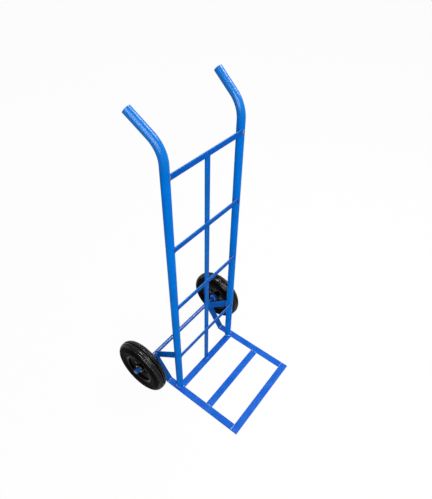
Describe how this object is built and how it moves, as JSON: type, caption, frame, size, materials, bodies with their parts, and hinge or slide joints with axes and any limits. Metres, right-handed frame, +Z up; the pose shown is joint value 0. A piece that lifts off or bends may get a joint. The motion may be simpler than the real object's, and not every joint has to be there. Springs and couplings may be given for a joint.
{
  "type": "hand truck",
  "caption": "Two-wheeled hand truck: two bent tube rails with flat crossbars, an open toe frame of flat bars and rubber-tyred wheels on one axle.",
  "frame": {"origin": "on the floor under the middle of the truck's bounding box", "axes": "+X to the left of the person at the handles, -Y ahead towards the toe, +Z up"},
  "size_m": [0.5286, 0.514, 1.1076],
  "materials": {
    "frame_paint": "glossy blue paint over welded steel",
    "rim_paint": "glossy black paint over pressed steel",
    "tyre_rubber": "moulded black rubber, ribbed",
    "zinc_plate": "bright zinc plate",
    "black_plastic": "moulded",
    "bush_nylon": "natural nylon"
  },
  "bodies": {
    "frame": {"bottom_crossbar": "frame_paint", "lower_crossbar": "frame_paint", "upper_crossbar": "frame_paint", "top_crossbar": "frame_paint", "centre_bar": "frame_paint", "toe_rear_bar": "frame_paint", "toe_middle_bar": "frame_paint", "toe_front_bar": "frame_paint", "axle": "frame_paint", "left_rail": "frame_paint", "left_handle_plug": "black_plastic", "left_toe_bar": "frame_paint", "left_strut": "frame_paint", "left_arm": "frame_paint", "left_axle_stop": "frame_paint", "left_end_washer": "zinc_plate", "left_spacer": "frame_paint", "left_split_pin": "zinc_plate", "right_rail": "frame_paint", "right_handle_plug": "black_plastic", "right_toe_bar": "frame_paint", "right_strut": "frame_paint", "right_arm": "frame_paint", "right_axle_stop": "frame_paint", "right_end_washer": "zinc_plate", "right_spacer": "frame_paint", "right_split_pin": "zinc_plate"},
    "left_wheel": {"left_tyre": "tyre_rubber", "left_outer_rim": "rim_paint", "left_inner_rim": "rim_paint", "left_hub_tube": "rim_paint", "left_bushes": "bush_nylon", "left_rim_bolts": "zinc_plate", "left_rim_nuts": "zinc_plate"},
    "right_wheel": {"right_tyre": "tyre_rubber", "right_outer_rim": "rim_paint", "right_inner_rim": "rim_paint", "right_hub_tube": "rim_paint", "right_bushes": "bush_nylon", "right_rim_bolts": "zinc_plate", "right_rim_nuts": "zinc_plate"}
  },
  "joints": [
    {"name": "left_wheel_spin", "type": "hinge", "parent": "frame", "child": "left_wheel", "pos_m": [0.227, 0.147, 0.11], "axis": [1, 0, 0], "continuous": true},
    {"name": "right_wheel_spin", "type": "hinge", "parent": "frame", "child": "right_wheel", "pos_m": [-0.227, 0.147, 0.11], "axis": [1, 0, 0], "continuous": true}
  ]
}
